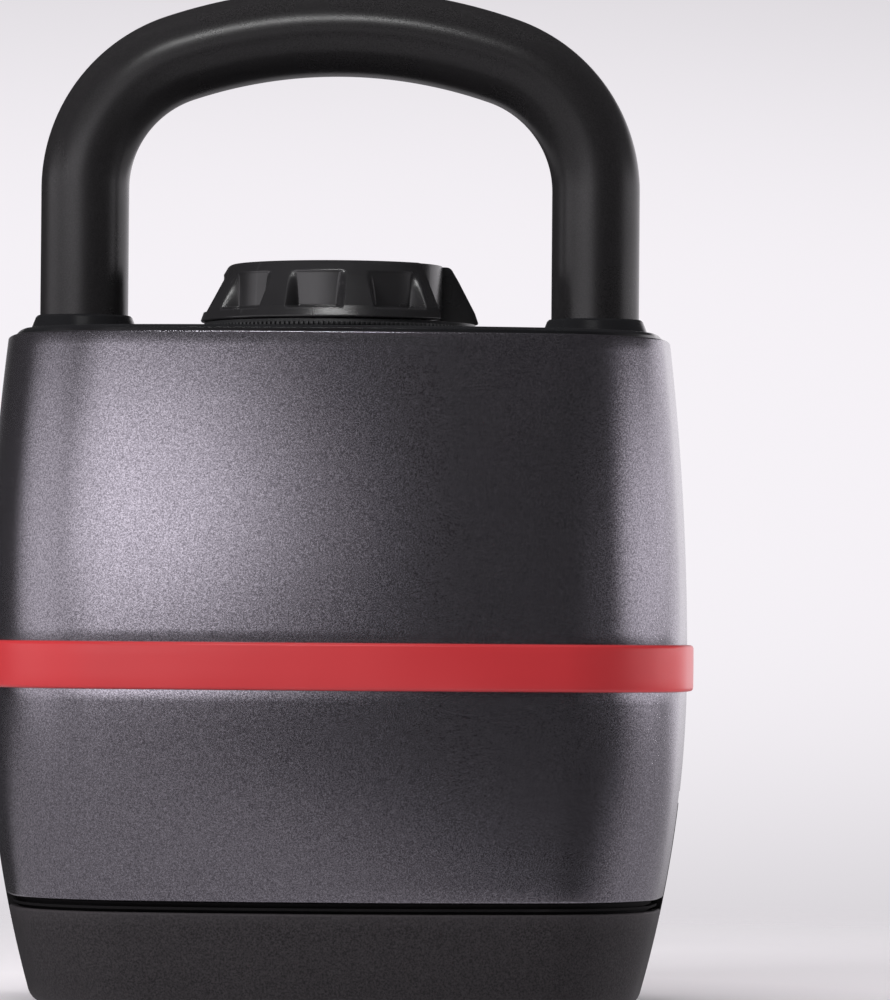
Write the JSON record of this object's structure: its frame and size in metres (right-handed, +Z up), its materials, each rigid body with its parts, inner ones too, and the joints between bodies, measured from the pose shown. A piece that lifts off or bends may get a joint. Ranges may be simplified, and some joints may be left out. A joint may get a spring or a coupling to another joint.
{
  "type": "adjustable kettlebell",
  "caption": "Adjustable kettlebell in its tray: bent tube handle over a two-part oval shell with a red bumper band, a fluted weight dial and stacked plates inside.",
  "frame": {"origin": "on the ground, under the middle of the tray", "axes": "+X to the right across the handle, +Y to the back, +Z up"},
  "size_m": [0.2226, 0.178, 0.318],
  "materials": {
    "shell_plastic": "purple-grey metallic fleck paint over moulded plastic, fine grain",
    "band_plastic": "smooth red plastic",
    "black_gloss": "polished black plastic",
    "dial_black": "satin black plastic",
    "base_plastic": "dark grey moulded plastic, fine grain",
    "handle_steel": "black powder coat over steel tube",
    "steel": "zinc plated",
    "iron": "raw cast iron",
    "plate_plastic": "black overmould",
    "bronze": "sintered bronze",
    "rubber": "soft black rubber"
  },
  "bodies": {
    "base": {"base_tray": "base_plastic", "base_rim": "base_plastic", "unlock_post": "base_plastic", "post_screws": "steel", "rubber_feet": "rubber", "plate_3_core": "iron", "plate_3_cover": "plate_plastic", "plate_4_core": "iron", "plate_4_cover": "plate_plastic", "plate_5_core": "iron", "plate_5_cover": "plate_plastic"},
    "kettlebell": {"handle_tube": "handle_steel", "tube_plugs": "steel", "handle_bolts": "steel", "handle_washers": "steel", "left_collar": "black_gloss", "right_collar": "black_gloss", "carrier_plate": "steel", "standoffs": "steel", "standoff_bolts": "steel", "deck_screws": "steel", "upper_shell": "shell_plastic", "lower_shell": "shell_plastic", "bumper_band": "band_plastic", "shell_screws": "steel", "top_cover": "black_gloss", "cover_screws": "steel", "number_ring": "dial_black", "upper_bush": "bronze", "lower_bush": "bronze", "lock_ring": "steel", "lock_ring_screws": "steel", "detent_post": "steel", "detent_spring": "steel"},
    "selector": {"selector_shaft": "steel", "selector_disc_1": "steel", "selector_disc_2": "steel", "selector_disc_3": "steel", "selector_disc_4": "steel", "selector_disc_5": "steel", "disc_spacers": "steel", "shaft_clip": "steel", "index_wheel": "steel", "dial": "dial_black", "dial_cap": "dial_black", "dial_screw": "steel", "lock_spring": "steel"},
    "lock_rod": {"lock_rod": "steel", "lock_pin": "steel"},
    "plate_1": {"plate_1_core": "iron", "plate_1_cover": "plate_plastic"},
    "plate_2": {"plate_2_core": "iron", "plate_2_cover": "plate_plastic"}
  },
  "joints": [
    {"name": "kettlebell_lift", "type": "slide", "parent": "base", "child": "kettlebell", "axis": [0, 0, 1], "range_m": [0, 0.15]},
    {"name": "dial_turn", "type": "hinge", "parent": "kettlebell", "child": "selector", "pos_m": [0, 0, 0.213], "axis": [0, 0, 1], "range_deg": [-90, 60], "deforming": ["detent_spring"]},
    {"name": "lock_rod_slide", "type": "slide", "parent": "selector", "child": "lock_rod", "axis": [0, 0, 1], "range_m": [-0.006, 0], "deforming": ["lock_spring"]},
    {"name": "plate_1_lift", "type": "slide", "parent": "base", "child": "plate_1", "axis": [0, 0, 1], "range_m": [0, 0.15]},
    {"name": "plate_2_lift", "type": "slide", "parent": "base", "child": "plate_2", "axis": [0, 0, 1], "range_m": [0, 0.15]}
  ],
  "couplings": [
    {"joint": "lock_rod_slide", "follows": "kettlebell_lift", "ratio": -0.04},
    {"joint": "plate_1_lift", "follows": "kettlebell_lift", "ratio": 1},
    {"joint": "plate_2_lift", "follows": "kettlebell_lift", "ratio": 1}
  ]
}
